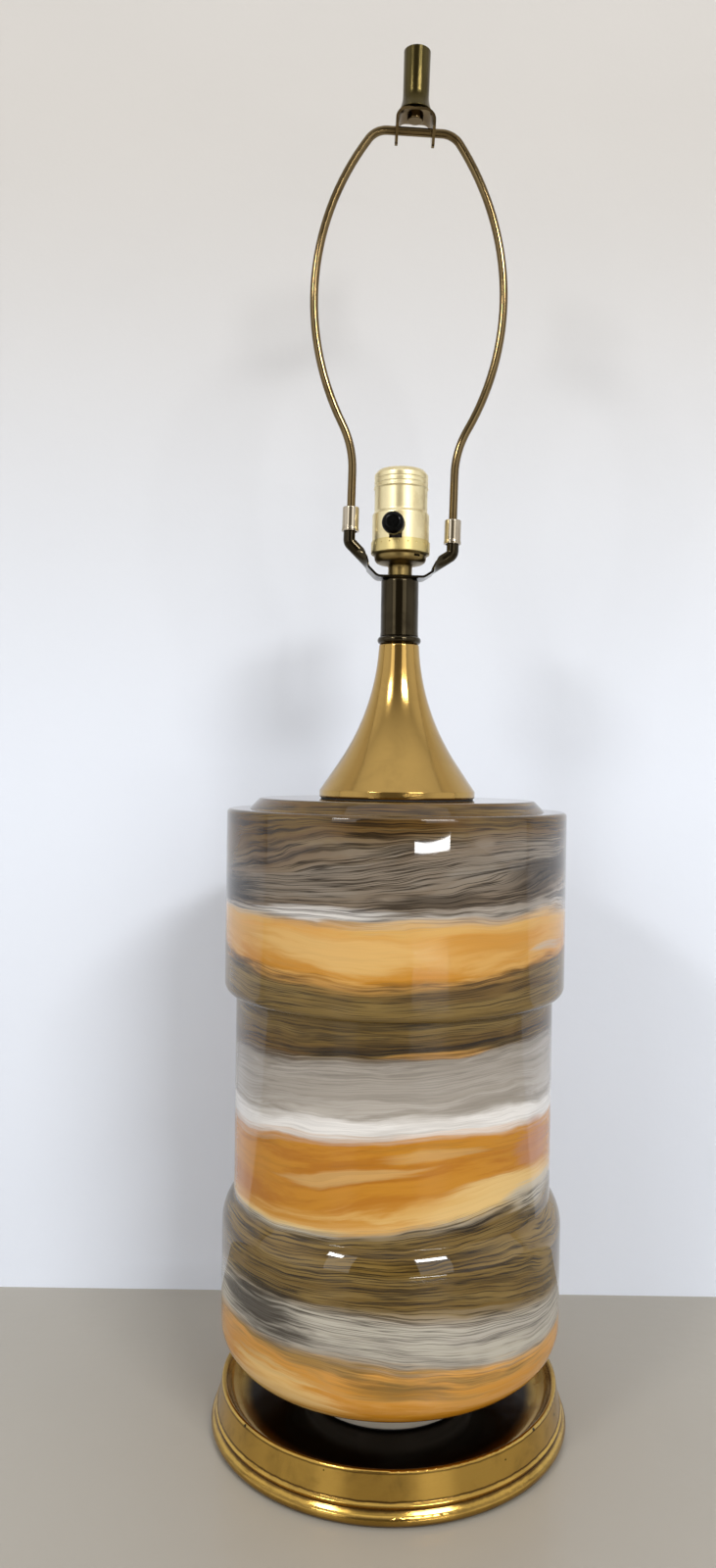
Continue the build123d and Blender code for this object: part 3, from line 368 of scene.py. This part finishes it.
def marbling(g, point):
    """The painted colour of the glass, and its streak height, at a point in millimetres."""
    x, y, z = g.parts(point)
    radius = g.math("SQRT", g.add(g.mul(x, x), g.mul(y, y)))
    right = g.math("DIVIDE", x, radius)
    front = g.math("DIVIDE", g.mul(y, -1.0), radius)
    twice_sine = g.mul(right, front, 2.0)
    twice_cosine = g.sub(g.mul(front, front), g.mul(right, right))
    on_top = g.step(z, GLASS_TOP_Z - TURN_LOW, GLASS_TOP_Z - TURN_HIGH)
    height = g.sub(g.add(z, g.mul(on_top, g.sub(GLASS_R, radius))), PAINT_FOOT_Z)

    # The measured rise of each level, and a slow wander on top of it
    stops = [
        (level / PAINT_HEIGHT, tuple(0.5 + rise / (2 * FLOW_REACH) for rise in rises))
        for level, *rises in FLOW
    ]
    flow = g.ramp(g.math("DIVIDE", height, PAINT_HEIGHT), stops)
    flow_rise = g.node(
        "ShaderNodeVectorMath", {0: flow.outputs[0], 1: (0.5, 0.5, 0.5)}, operation="SUBTRACT"
    ).outputs[0]
    rise = g.mul(g.dot(flow_rise, g.vector(right, front, twice_sine)), 2 * FLOW_REACH)
    rise = g.add(rise, g.mul(g.sub(flow.outputs[1], 0.5), twice_cosine, 2 * FLOW_REACH))
    wander = drawn_out(g, x, y, height, *WANDER, 2.0)
    level = g.sub(g.sub(height, rise), g.mul(g.sub(wander, 0.5), WANDER_REACH))

    # Streaks of three sizes share one finer wander
    ripple = drawn_out(g, x, y, level, *RIPPLE, 3.0, 0.5)
    rippled = g.add(level, g.mul(g.sub(ripple, 0.5), RIPPLE_REACH))
    broad = drawn_out(g, x, y, rippled, *BROAD, 4.0, 0.6, 0.3)
    medium = drawn_out(g, x, y, rippled, *MEDIUM, 4.0, 0.62, 0.1)
    hair = drawn_out(g, x, y, rippled, *HAIR, 2.0, 0.5, 0.1)
    edge = g.add(
        rippled, g.mul(g.sub(medium, 0.5), MEDIUM_REACH), g.mul(g.sub(broad, 0.5), BROAD_REACH)
    )
    share = g.math("DIVIDE", edge, PAINT_HEIGHT)

    starts = [band[0] / PAINT_HEIGHT for band in BANDS]
    main = g.ramp(share, list(zip(starts, [band[1] for band in BANDS]))).outputs[0]
    other = g.ramp(share, list(zip(starts, [band[2] for band in BANDS]))).outputs[0]
    strengths = g.ramp(share, list(zip(starts, [band[3:] for band in BANDS]))).outputs[0]
    broad_strength, dark_strength, hair_strength = g.parts(strengths)

    colour = g.mix(g.mul(g.step(broad, 0.42, 0.6), broad_strength), main, other)
    lighter = g.mul(g.step(medium, 0.46, 0.34), dark_strength)
    colour = g.mix(g.mul(lighter, 0.35), colour, KHAKI)
    for angle, pool_z, half_angle, half_height, pool_colour, strength in POOLS:
        heading = g.add(g.mul(right, sin(radians(angle))), g.mul(front, cos(radians(angle))))
        aside = g.math("DIVIDE", g.sub(1.0, heading), 1 - cos(radians(half_angle)))
        away = g.math("DIVIDE", g.sub(rippled, float(pool_z)), float(half_height))
        near = g.sub(1.0, g.add(g.math("MAXIMUM", aside, 0.0), g.mul(away, away)))
        for streak in (medium, broad):
            near = g.add(near, g.mul(g.sub(streak, 0.5), POOL_FRAY))
        colour = g.mix(g.mul(g.step(near, -0.3, 0.9), strength), colour, pool_colour)

    cluster = drawn_out(g, x, y, level, *CLUSTER, 2.0)
    dark = g.mul(g.step(medium, 0.5, 0.57), dark_strength, g.step(cluster, 0.3, 0.55))
    colour = g.mix(g.mul(dark, 0.8), colour, DARK)
    ridge = g.sub(1.0, g.mul(g.math("ABSOLUTE", g.sub(hair, 0.5)), HAIR_SHARPNESS))
    hairs = g.mul(g.math("MAXIMUM", ridge, 0.0), g.step(cluster, 0.25, 0.45), hair_strength)
    colour = g.mix(g.mul(hairs, 0.95), colour, DARK)
    return colour, medium


# Size in millimetres, and depths in metres, of what bends the reflections in the glass
GLASS_WAVE = 45
GLASS_WAVE_DEPTH = 0.00012
STREAK_DEPTH = 0.0002


def painted_glass(g):
    """Marbling under clear glass, which is the glossy coat."""
    point = g.place()
    colour, streak = marbling(g, point)
    wavy = g.bump(g.noise(point, 1 / GLASS_WAVE, 1.0), GLASS_WAVE_DEPTH)
    return {
        "Base Color": colour,
        "Roughness": 0.6,
        "Specular IOR Level": 0.0,
        "IOR": 1.5,
        "Coat Weight": 1.0,
        "Coat Roughness": 0.02,
        "Coat IOR": 1.5,
        "Normal": g.bump(streak, STREAK_DEPTH, 0.35, wavy),
        "Coat Normal": wavy,
    }


# Sizes of the wear on metal in millimetres, and depths of its bumps in metres
CLOUD = 22
SPOT = 1.6
RING = 0.55
RING_DRAW = 0.04
GRAIN = 0.25
DENT = 14
RING_DEPTH = 0.00003
GRAIN_DEPTH = 0.00002
DENT_DEPTH = 0.00005
# How far the darkening of corners reaches, in metres: partly dirt, partly painted shade
DIRT_AND_SHADE_REACH = 0.008


def worn(
    g, point, colour, tarnish, rough, patchy=0.35, spun=0.0, brushed=0.0, anisotropic=0.0, dirt=0.0
):
    """Principled inputs of a worn metal.

    patchy is how much it tarnishes in clouds and spots, and dirt how much it darkens in
    its corners, partly as dirt and partly as painted shade. spun cuts fine rings square to Z, and
    brushed is a faint random grain.
    """
    x, y, z = g.parts(point)
    cloud = g.noise(point, 1 / CLOUD, 5.0, 0.6, 0.6)
    spots = g.noise(point, 1 / SPOT, 3.0, 0.6)
    ring_place = g.vector(g.mul(x, RING_DRAW), g.mul(y, RING_DRAW), z)
    rings = g.noise(ring_place, 1 / RING, 3.0, 0.7)
    clouded = g.step(cloud, 0.45, 0.75, 0.0, patchy)
    tone = g.add(clouded, g.step(spots, 0.66, 0.8, 0.0, 0.5 * patchy))
    tone = g.add(tone, g.mul(g.sub(rings, 0.5), 0.35 * spun))
    # Darkening in corners and recesses: partly dirt, partly painted shade
    if dirt:
        open_share = g.node("ShaderNodeAmbientOcclusion", {"Distance": DIRT_AND_SHADE_REACH}, samples=4)
        tone = g.add(tone, g.step(open_share.outputs["AO"], 0.75, 0.25, 0.0, dirt))
    tone = g.math("MAXIMUM", tone, 0.0, clamp=True)
    roughness = g.add(rough, g.mul(tone, 0.28), g.mul(g.sub(rings, 0.5), 0.12 * spun))
    normal = g.bump(g.noise(point, 1 / DENT, 1.0), DENT_DEPTH, 0.5)
    if spun:
        normal = g.bump(rings, RING_DEPTH, spun, normal)
    if brushed:
        normal = g.bump(g.noise(point, 1 / GRAIN, 2.0), GRAIN_DEPTH, brushed, normal)
    return {
        "Base Color": g.mix(tone, colour, tarnish),
        "Metallic": 1.0,
        "Roughness": g.math("MAXIMUM", roughness, 0.04),
        "Anisotropic": anisotropic,
        "Normal": normal,
    }


def metal(*looks, **more):
    """Builder of a worn metal."""
    def build(g):
        return worn(g, g.place(), *looks, **more)

    return build


# Heights of the socket cap's band, in millimetres
CAP_BAND_Z = 521.5
CAP_BAND_TOP_Z = 528.5
PALE_GOLD = (0.88, 0.77, 0.46)
DULL_GOLD = (0.36, 0.25, 0.09)
BAND_GOLD = (0.68, 0.54, 0.20)
CAP_PAINTED_SHADE = (0.17, 0.11, 0.035)


def socket_brass(g):
    """Pale gold shell; the cap's band is yellower, and its floor and hub are darkened with painted
    shade.
    """
    point = g.place()
    inputs = worn(g, point, PALE_GOLD, DULL_GOLD, 0.33, 0.4, spun=0.2, dirt=0.8)
    height = g.parts(point)[2]
    band = g.step(height, CAP_BAND_TOP_Z + 0.5, CAP_BAND_TOP_Z)
    inputs["Base Color"] = g.mix(g.mul(band, 0.8), inputs["Base Color"], BAND_GOLD)
    # Painted shade: the cap's down-facing floor and hub go dark brown below the band
    low = g.step(height, CAP_BAND_Z, CAP_BAND_Z - 1.5)
    inputs["Base Color"] = g.mix(g.mul(low, 0.85), inputs["Base Color"], CAP_PAINTED_SHADE)
    return inputs


# Where the base is stained: height, half width and strength of each line, in millimetres
STAIN_LINES = [
    (3.0, 1.8, 0.45),
    (5.8, 0.5, 0.5),
    (8.6, 0.9, 0.9),
    (12.6, 0.5, 0.9),
    (25.8, 0.4, 0.7),
]
# Small nicks through the brass: angle, height and radius
NICKS = [
    (-52.7, 26.6, 0.9),
    (-20.0, 24.0, 0.4),
    (52.8, 26.6, 1.0),
    (70.0, 20.0, 0.9),
    (38.0, 21.5, 0.5),
    (160.0, 25.0, 0.8),
]
# The dish goes near black inwards between these radii, above this height: painted shade under the
# glass
DISH_FLOOR_R = 92.0
DISH_SHADE_R = 81.0
DISH_FLOOR_Z = 16.6
STAIN = (0.10, 0.05, 0.015)
# Near black: the nicks' own colour, and the painted shade of the dish under the glass
NICK_BLACK_AND_DISH_SHADE = (0.012, 0.007, 0.003)
# Size of the stains' ragged edges, and how far they stray, in millimetres
RAGGED = 7
LINE_RAGGED = 1.1
DISH_RAGGED = 2.0


def base_brass(g):
    """Spun brass with stained grooves, nicks, and a dish darkened with painted shade under the
    glass.
    """
    point = g.place()
    x, y, z = g.parts(point)
    inputs = worn(g, point, BRASS, TARNISH, 0.13, 0.45, spun=0.5, anisotropic=0.3, dirt=0.8)
    colour = inputs["Base Color"]
    ragged = g.sub(g.noise(point, 1 / RAGGED, 4.0, 0.65), 0.5)
    for height, half, strength in STAIN_LINES:
        away = g.math("ABSOLUTE", g.sub(g.add(z, g.mul(ragged, LINE_RAGGED)), height))
        colour = g.mix(g.mul(g.step(away, 1.6 * half, 0.4 * half), strength), colour, STAIN)
    for angle, height, size in NICKS:
        out = WALL_FOOT_R - WALL_LEAN * (height - WALL_FOOT_Z)
        spot = (out * sin(radians(angle)), -out * cos(radians(angle)), height)
        reach = g.node("ShaderNodeVectorMath", {0: point, 1: spot}, operation="DISTANCE")
        nick = g.step(reach.outputs["Value"], 1.3 * size, 0.7 * size)
        colour = g.mix(nick, colour, NICK_BLACK_AND_DISH_SHADE)
    # Painted shade: the dish under the glass bowl goes near black inwards
    radius = g.math("SQRT", g.add(g.mul(x, x), g.mul(y, y)))
    edge = g.add(radius, g.mul(ragged, DISH_RAGGED))
    inward = g.step(edge, DISH_FLOOR_R + 1.0, DISH_SHADE_R)
    dish_shade = g.mul(inward, g.step(z, DISH_FLOOR_Z - 0.5, DISH_FLOOR_Z))
    inputs["Base Color"] = g.mix(dish_shade, colour, NICK_BLACK_AND_DISH_SHADE)
    return inputs


# Sizes of the mottling, smears and grain of plastics, in millimetres
MOTTLE = 6
SMEAR = 3
PLASTIC_GRAIN = 0.4
# How much lighter a plastic is where it is mottled, unless its speck colour is given
MOTTLED_LIGHTER = 1.7


def plastic(colour, rough, grain=0.00002, speck=None, shine=0.5):
    """Builder of a moulded plastic, rubber or phenolic; grain is its depth in metres."""
    speck = speck or tuple(c * MOTTLED_LIGHTER for c in colour)

    def build(g):
        point = g.place()
        mottle = g.noise(point, 1 / MOTTLE, 4.0, 0.6)
        smear = g.noise(point, 1 / SMEAR, 3.0)
        shade = g.mix(g.step(mottle, 0.4, 0.7, 0.0, 0.6), colour, speck)
        return {
            "Base Color": shade,
            "Roughness": g.add(rough, g.mul(g.sub(smear, 0.5), 0.15)),
            "Specular IOR Level": shine,
            "Normal": g.bump(g.noise(point, 1 / PLASTIC_GRAIN, 3.0), grain),
        }

    return build


def fibrous(colour, other, size, depth):
    """Builder of felt or paper; size is a fibre's, in millimetres, and depth in metres."""
    def build(g):
        point = g.place()
        fibre = g.noise(point, 1 / size, 5.0, 0.75, 1.5)
        patch = g.noise(point, 1 / (20 * size), 2.0)
        return {
            "Base Color": g.mix(g.add(g.mul(fibre, 0.6), g.mul(patch, 0.4)), colour, other),
            "Roughness": g.add(0.85, g.mul(fibre, 0.1)),
            "Sheen Weight": 0.3,
            "Normal": g.bump(fibre, depth),
        }

    return build


BRASS = (0.57, 0.355, 0.08)
SATIN_BRASS = (0.46, 0.29, 0.085)
TARNISH = (0.20, 0.12, 0.035)
PATINA = (0.048, 0.038, 0.022)
PATINA_WEAR = (0.01, 0.007, 0.004)
ANTIQUE = (0.17, 0.12, 0.055)
ANTIQUE_WEAR = (0.06, 0.035, 0.012)
ROSE_BRASS = (0.50, 0.44, 0.34)
BRONZE = (0.085, 0.066, 0.023)
BRONZE_WEAR = (0.03, 0.021, 0.007)
STEEL = (0.5, 0.5, 0.5)
RUST = (0.2, 0.15, 0.1)
THREAD = (0.78, 0.66, 0.45)
THREAD_WEAR = (0.3, 0.24, 0.16)
BLACK = (0.012, 0.012, 0.012)
KNOB_BLACK = (0.0015, 0.0015, 0.0015)
PHENOLIC = (0.012, 0.009, 0.007)
PHENOLIC_SPECK = (0.03, 0.02, 0.014)
RUBBER = (0.02, 0.02, 0.02)
GREEN_FELT = ((0.02, 0.035, 0.02), (0.05, 0.08, 0.05))
DARK_PAPER = ((0.035, 0.025, 0.018), (0.07, 0.05, 0.035))

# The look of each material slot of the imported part
LOOKS = {
    "base_brass": base_brass,
    "trumpet_brass": metal(SATIN_BRASS, TARNISH, 0.12, 0.2, spun=0.3, anisotropic=0.2),
    "neck_brass": metal(PATINA, PATINA_WEAR, 0.1, 0.7, brushed=0.3, dirt=0.6),
    "harp_brass": metal(ANTIQUE, ANTIQUE_WEAR, 0.1, 0.6, brushed=0.4, dirt=0.8),
    "ferrule_brass": metal(ROSE_BRASS, TARNISH, 0.1, 0.4, dirt=0.5),
    "finial_brass": metal(BRONZE, BRONZE_WEAR, 0.14, 0.5, brushed=0.6),
    "socket_brass": socket_brass,
    "black_plastic": plastic(BLACK, 0.4),
    "black_knob": plastic(KNOB_BLACK, 0.14, shine=0.1),
    "insulator": plastic(PHENOLIC, 0.45, speck=PHENOLIC_SPECK),
    "gasket": plastic(RUBBER, 0.8, grain=0.00006),
    "felt": fibrous(*GREEN_FELT, 0.5, 0.0004),
    "liner_paper": fibrous(*DARK_PAPER, 0.6, 0.0001),
    "hidden_steel": metal(STEEL, RUST, 0.3, 0.5, brushed=0.6),
    "thread_metal": metal(THREAD, THREAD_WEAR, 0.25, 0.5, brushed=0.6),
    "contact_brass": metal(BRASS, TARNISH, 0.3, 0.6),
}


SHARP_ANGLE = 40


def rounded(corners, run=3.0, bend=9.0):
    """Points along an open outline, in millimetres.

    Each corner is (radius, height, rounding). No two points are further apart than run, or turn
    by more than bend degrees.
    """
    points = [Vector(corners[0][:2])]
    for before, corner, after in zip(corners, corners[1:], corners[2:]):
        here = Vector(corner[:2])
        back = (Vector(before[:2]) - here).normalized()
        onward = (Vector(after[:2]) - here).normalized()
        rounding = corner[2]
        if not rounding:
            points.append(here)
            continue
        half = back.angle(onward) / 2
        middle = here + (back + onward).normalized() * rounding / sin(half)
        first = here + back * rounding / tan(half)
        last = here + onward * rounding / tan(half)
        start = atan2(first.y - middle.y, first.x - middle.x)
        turn = atan2(last.y - middle.y, last.x - middle.x) - start
        turn = (turn + pi) % (2 * pi) - pi
        steps = max(2, ceil(abs(turn) / radians(bend)))
        for i in range(steps + 1):
            angle = start + turn * i / steps
            points.append(middle + Vector((cos(angle), sin(angle))) * rounding)
    points.append(Vector(corners[-1][:2]))
    dense = [points[0]]
    for point in points[1:]:
        parts = max(1, ceil((point - dense[-1]).length / run))
        origin = dense[-1]
        dense += [origin.lerp(point, (i + 1) / parts) for i in range(parts)]
    return dense


def lathe(name, outline, segments, shift):
    """A closed outline in millimetres turned about Z into a closed mesh, in metres.

    shift(place) gives how far each point is moved.
    """
    mesh = bmesh.new()
    rings = []
    for point in outline:
        ring = []
        for i in range(segments):
            angle = 2 * pi * i / segments
            place = Vector((point.x * sin(angle), -point.x * cos(angle), point.y))
            place += shift(place)
            ring.append(mesh.verts.new(place * MM))
        rings.append(ring)
    for a, b in zip(rings, rings[1:] + rings[:1]):
        for i in range(segments):
            j = (i + 1) % segments
            mesh.faces.new((a[i], a[j], b[j], b[i])).smooth = True
    bmesh.ops.recalc_face_normals(mesh, faces=mesh.faces)
    data = bpy.data.meshes.new(name)
    mesh.to_mesh(data)
    mesh.free()
    piece = bpy.data.objects.new(name, data)
    bpy.context.scene.collection.objects.link(piece)
    data.set_sharp_from_angle(angle=radians(SHARP_ANGLE))
    return piece


# Blown unevenness, in millimetres: two sizes of wave, and the depth of the larger one
LONG_WAVE = 38
SHORT_WAVE = 17
BLOWN_DEPTH = 0.06
# The second wave starts elsewhere in the noise
SHORT_WAVE_START = Vector((7, 0, 0))


def blown(place):
    """The small unevenness of blown glass, in millimetres, always inwards."""
    short = noise.noise(place / SHORT_WAVE + SHORT_WAVE_START)
    wave = noise.noise(place / LONG_WAVE) + 0.5 * short
    flat = Vector((place.x, place.y, 0)).normalized()
    return -flat * BLOWN_DEPTH * (1.5 + wave)


GLASS_SEGMENTS = 288


def glass():
    """The blown body, outside and inside: foot ring, bowl, bulge, waist, shoulder, raised disc."""
    slope = atan2(BOWL_RISE, GLASS_R - FOOT_R)
    bowl_top = BOWL_Z + BOWL_RISE
    outside = rounded([
        (FOOT_HOLE_R, BOWL_Z, 0),
        (FOOT_INNER_R, BOWL_Z, 2),
        (FOOT_INNER_R, GLASS_FOOT_Z, 2),
        (FOOT_R, GLASS_FOOT_Z, 2),
        (FOOT_R, BOWL_Z, 4),
        (GLASS_R, bowl_top, 20),
        (GLASS_R, BULGE_TOP_Z, 26),
        (WAIST_R, WAIST_FOOT_Z, 0.7),
        (WAIST_R, WAIST_TOP_Z, 0.7),
        (GLASS_R, WAIST_TOP_Z, 5.9),
        (GLASS_R, SHOULDER_Z, 2.5),
        (LEDGE_R, SHOULDER_Z, 0),
        (DISC_R, GLASS_TOP_Z, 2.2),
        (MOUTH_R, GLASS_TOP_Z, 0),
    ])
    inner_r = GLASS_R - GLASS_WALL
    inner_waist = WAIST_R - GLASS_WALL
    inner_bowl = BOWL_Z + GLASS_WALL
    bowl_corner = inner_bowl + (inner_r - FOOT_R) * tan(slope)
    inside = rounded([
        (MOUTH_R, GLASS_TOP_Z - GLASS_WALL, 0),
        (DISC_R - GLASS_WALL / 2, GLASS_TOP_Z - GLASS_WALL, 2),
        (LEDGE_R - GLASS_WALL / 2, SHOULDER_Z - GLASS_WALL, 0),
        (inner_r, SHOULDER_Z - GLASS_WALL, 2.5),
        (inner_r, WAIST_TOP_Z + GLASS_WALL, 1.9),
        (inner_waist, WAIST_TOP_Z + GLASS_WALL, 4.7),
        (inner_waist, WAIST_FOOT_Z, 4.7),
        (inner_r, BULGE_TOP_Z - 2, 22),
        (inner_r, bowl_corner, 16),
        (FOOT_R - 1, inner_bowl, 4),
        (FOOT_HOLE_R, inner_bowl, 0),
    ], run=12.0, bend=20.0)
    body = lathe("marbled_glass", outside + inside, GLASS_SEGMENTS, blown)
    body.data.materials.append(surface("marbled_glass", painted_glass))
    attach(body, "lamp")
    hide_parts("glass_body")


def dress():
    """Each CAD node takes the look of its slot."""
    made = {name: surface(name, build) for name, build in LOOKS.items()}
    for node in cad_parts.values():
        for slot in node.material_slots:
            if slot.material.name in made:
                slot.material = made[slot.material.name]


# Colours of the room; the wall changes from low to high between two heights, in metres, and its
# darker, warmer top is painted shade
FLOOR = srgb(167, 161, 149)
LOW_WALL = srgb(236, 243, 255)
SHADED_HIGH_WALL = srgb(203, 200, 196)
FADE_FROM_Z = 0.3
FADE_TO_Z = 0.9


def stage_surface(name, colour, high_colour, rough, mottled):
    """A stage material that is only seen from its front, and changes colour with height, which on
    the wall is painted shade.

    mottled is how bright its darkest clouds are, as a share.
    """
    material = bpy.data.materials.new(name)
    material.use_nodes = True
    g = Graph(material.node_tree)
    point = g.node("ShaderNodeTexCoord").outputs["Object"]
    cloud = g.noise(point, 3.0, 4.0)
    painted_shade_fade = g.step(g.parts(point)[2], FADE_FROM_Z, FADE_TO_Z)
    tone = g.mix(painted_shade_fade, colour, high_colour)
    tone = g.mix(g.step(cloud, 0.3, 0.7, 0.0, 1 - mottled), tone, (0.0, 0.0, 0.0))
    front = g.node("ShaderNodeBsdfPrincipled", {
        "Base Color": tone,
        "Roughness": rough,
        "Normal": g.bump(g.noise(point, 90.0, 3.0), 0.0004, 0.4),
    })
    through = g.node("ShaderNodeBsdfTransparent")
    back = g.node("ShaderNodeNewGeometry").outputs["Backfacing"]
    both = g.node("ShaderNodeMixShader", {0: back, 1: front.outputs[0], 2: through.outputs[0]})
    g.node("ShaderNodeOutputMaterial", {0: both.outputs[0]})
    return material


def sheet(name, corners, material):
    """One flat stage face."""
    data = bpy.data.meshes.new(name)
    data.from_pydata(corners, [], [(0, 1, 2, 3)])
    data.materials.append(material)
    made = bpy.data.objects.new(name, data)
    bpy.context.scene.collection.objects.link(made)


def room():
    """A pale floor, and a pale wall close behind the lamp."""
    floor = stage_surface("floor", FLOOR, FLOOR, 0.3, 0.95)
    wall = stage_surface("wall", LOW_WALL, SHADED_HIGH_WALL, 0.8, 0.97)
    left, right = -ROOM_HALF, ROOM_HALF
    near, far = -ROOM_HALF, ROOM_HALF
    sheet("floor", [(left, near, 0), (right, near, 0), (right, far, 0), (left, far, 0)], floor)
    sheet("wall", [
        (left, WALL_Y, 0),
        (right, WALL_Y, 0),
        (right, WALL_Y, WALL_HEIGHT),
        (left, WALL_Y, WALL_HEIGHT),
    ], wall)


# Lamps that stand for windows: heading from the front in degrees, then distance, height, width
# and tallness in metres, and brightness
WINDOWS = {
    "pane_right": (28, 2.6, 1.25, 1.05, 1.8, 1.4),
    "pane_left": (-34, 2.6, 1.25, 0.8, 1.8, 1.4),
    "window_right": (28, 2.5, 1.95, 1.0, 0.3, 37.0),
    "window_left": (-40, 2.5, 1.95, 0.5, 0.3, 37.0),
    "strip_right": (22, 2.5, 0.185, 1.0, 0.032, 28.0),
}
# What all the windows face
AIM = Vector((0, 0, 0.4))
# The room's light: dark behind the camera, bright overhead, at the sides and behind the lamp
DIM = (0.20, 0.18, 0.15)
BRIGHT = (1.0, 1.0, 1.03)
# It brightens between these parts of a direction of length 1: up, sideways and backwards
UP = (0.4, 0.95)
SIDEWAYS = (0.35, 0.9)
BACKWARDS = (-0.3, 0.5)
# Overhead is dimmer towards the camera, between these parts of it
TOWARDS_CAMERA = (-0.9, -0.3)


def lights():
    """The windows, and the soft light of the room."""
    for name, (heading, distance, height, width, tall, brightness) in WINDOWS.items():
        data = bpy.data.lights.new(name, "AREA")
        data.shape = "RECTANGLE"
        data.size = width
        data.size_y = tall
        # A lamp of power P and area A shows a brightness of P / (pi A)
        data.energy = brightness * pi * width * tall
        lamp = bpy.data.objects.new(name, data)
        bpy.context.scene.collection.objects.link(lamp)
        lamp.visible_camera = False
        turn = radians(heading)
        place = Vector((distance * sin(turn), -distance * cos(turn), height))
        lamp.location = place
        lamp.rotation_euler = (place - AIM).to_track_quat("Z", "Y").to_euler()
    world = bpy.data.worlds.new("room")
    bpy.context.scene.world = world
    world.use_nodes = True
    g = Graph(world.node_tree)
    x, y, z = g.parts(g.node("ShaderNodeTexCoord").outputs["Generated"])
    above = g.mul(g.step(z, *UP), g.step(y, *TOWARDS_CAMERA, 0.7, 1.0))
    aside = g.step(g.math("ABSOLUTE", x), *SIDEWAYS, 0.0, 0.9)
    behind = g.step(y, *BACKWARDS)
    bright = g.math("MAXIMUM", g.math("MAXIMUM", above, aside), behind)
    tone = g.mix(bright, DIM, BRIGHT)
    shader = g.node("ShaderNodeBackground", {"Color": tone, "Strength": 1.0})
    g.node("ShaderNodeOutputWorld", {0: shader.outputs[0]})


camera()
room()
lights()
dress()
glass()
bpy.context.scene.view_settings.view_transform = "Standard"
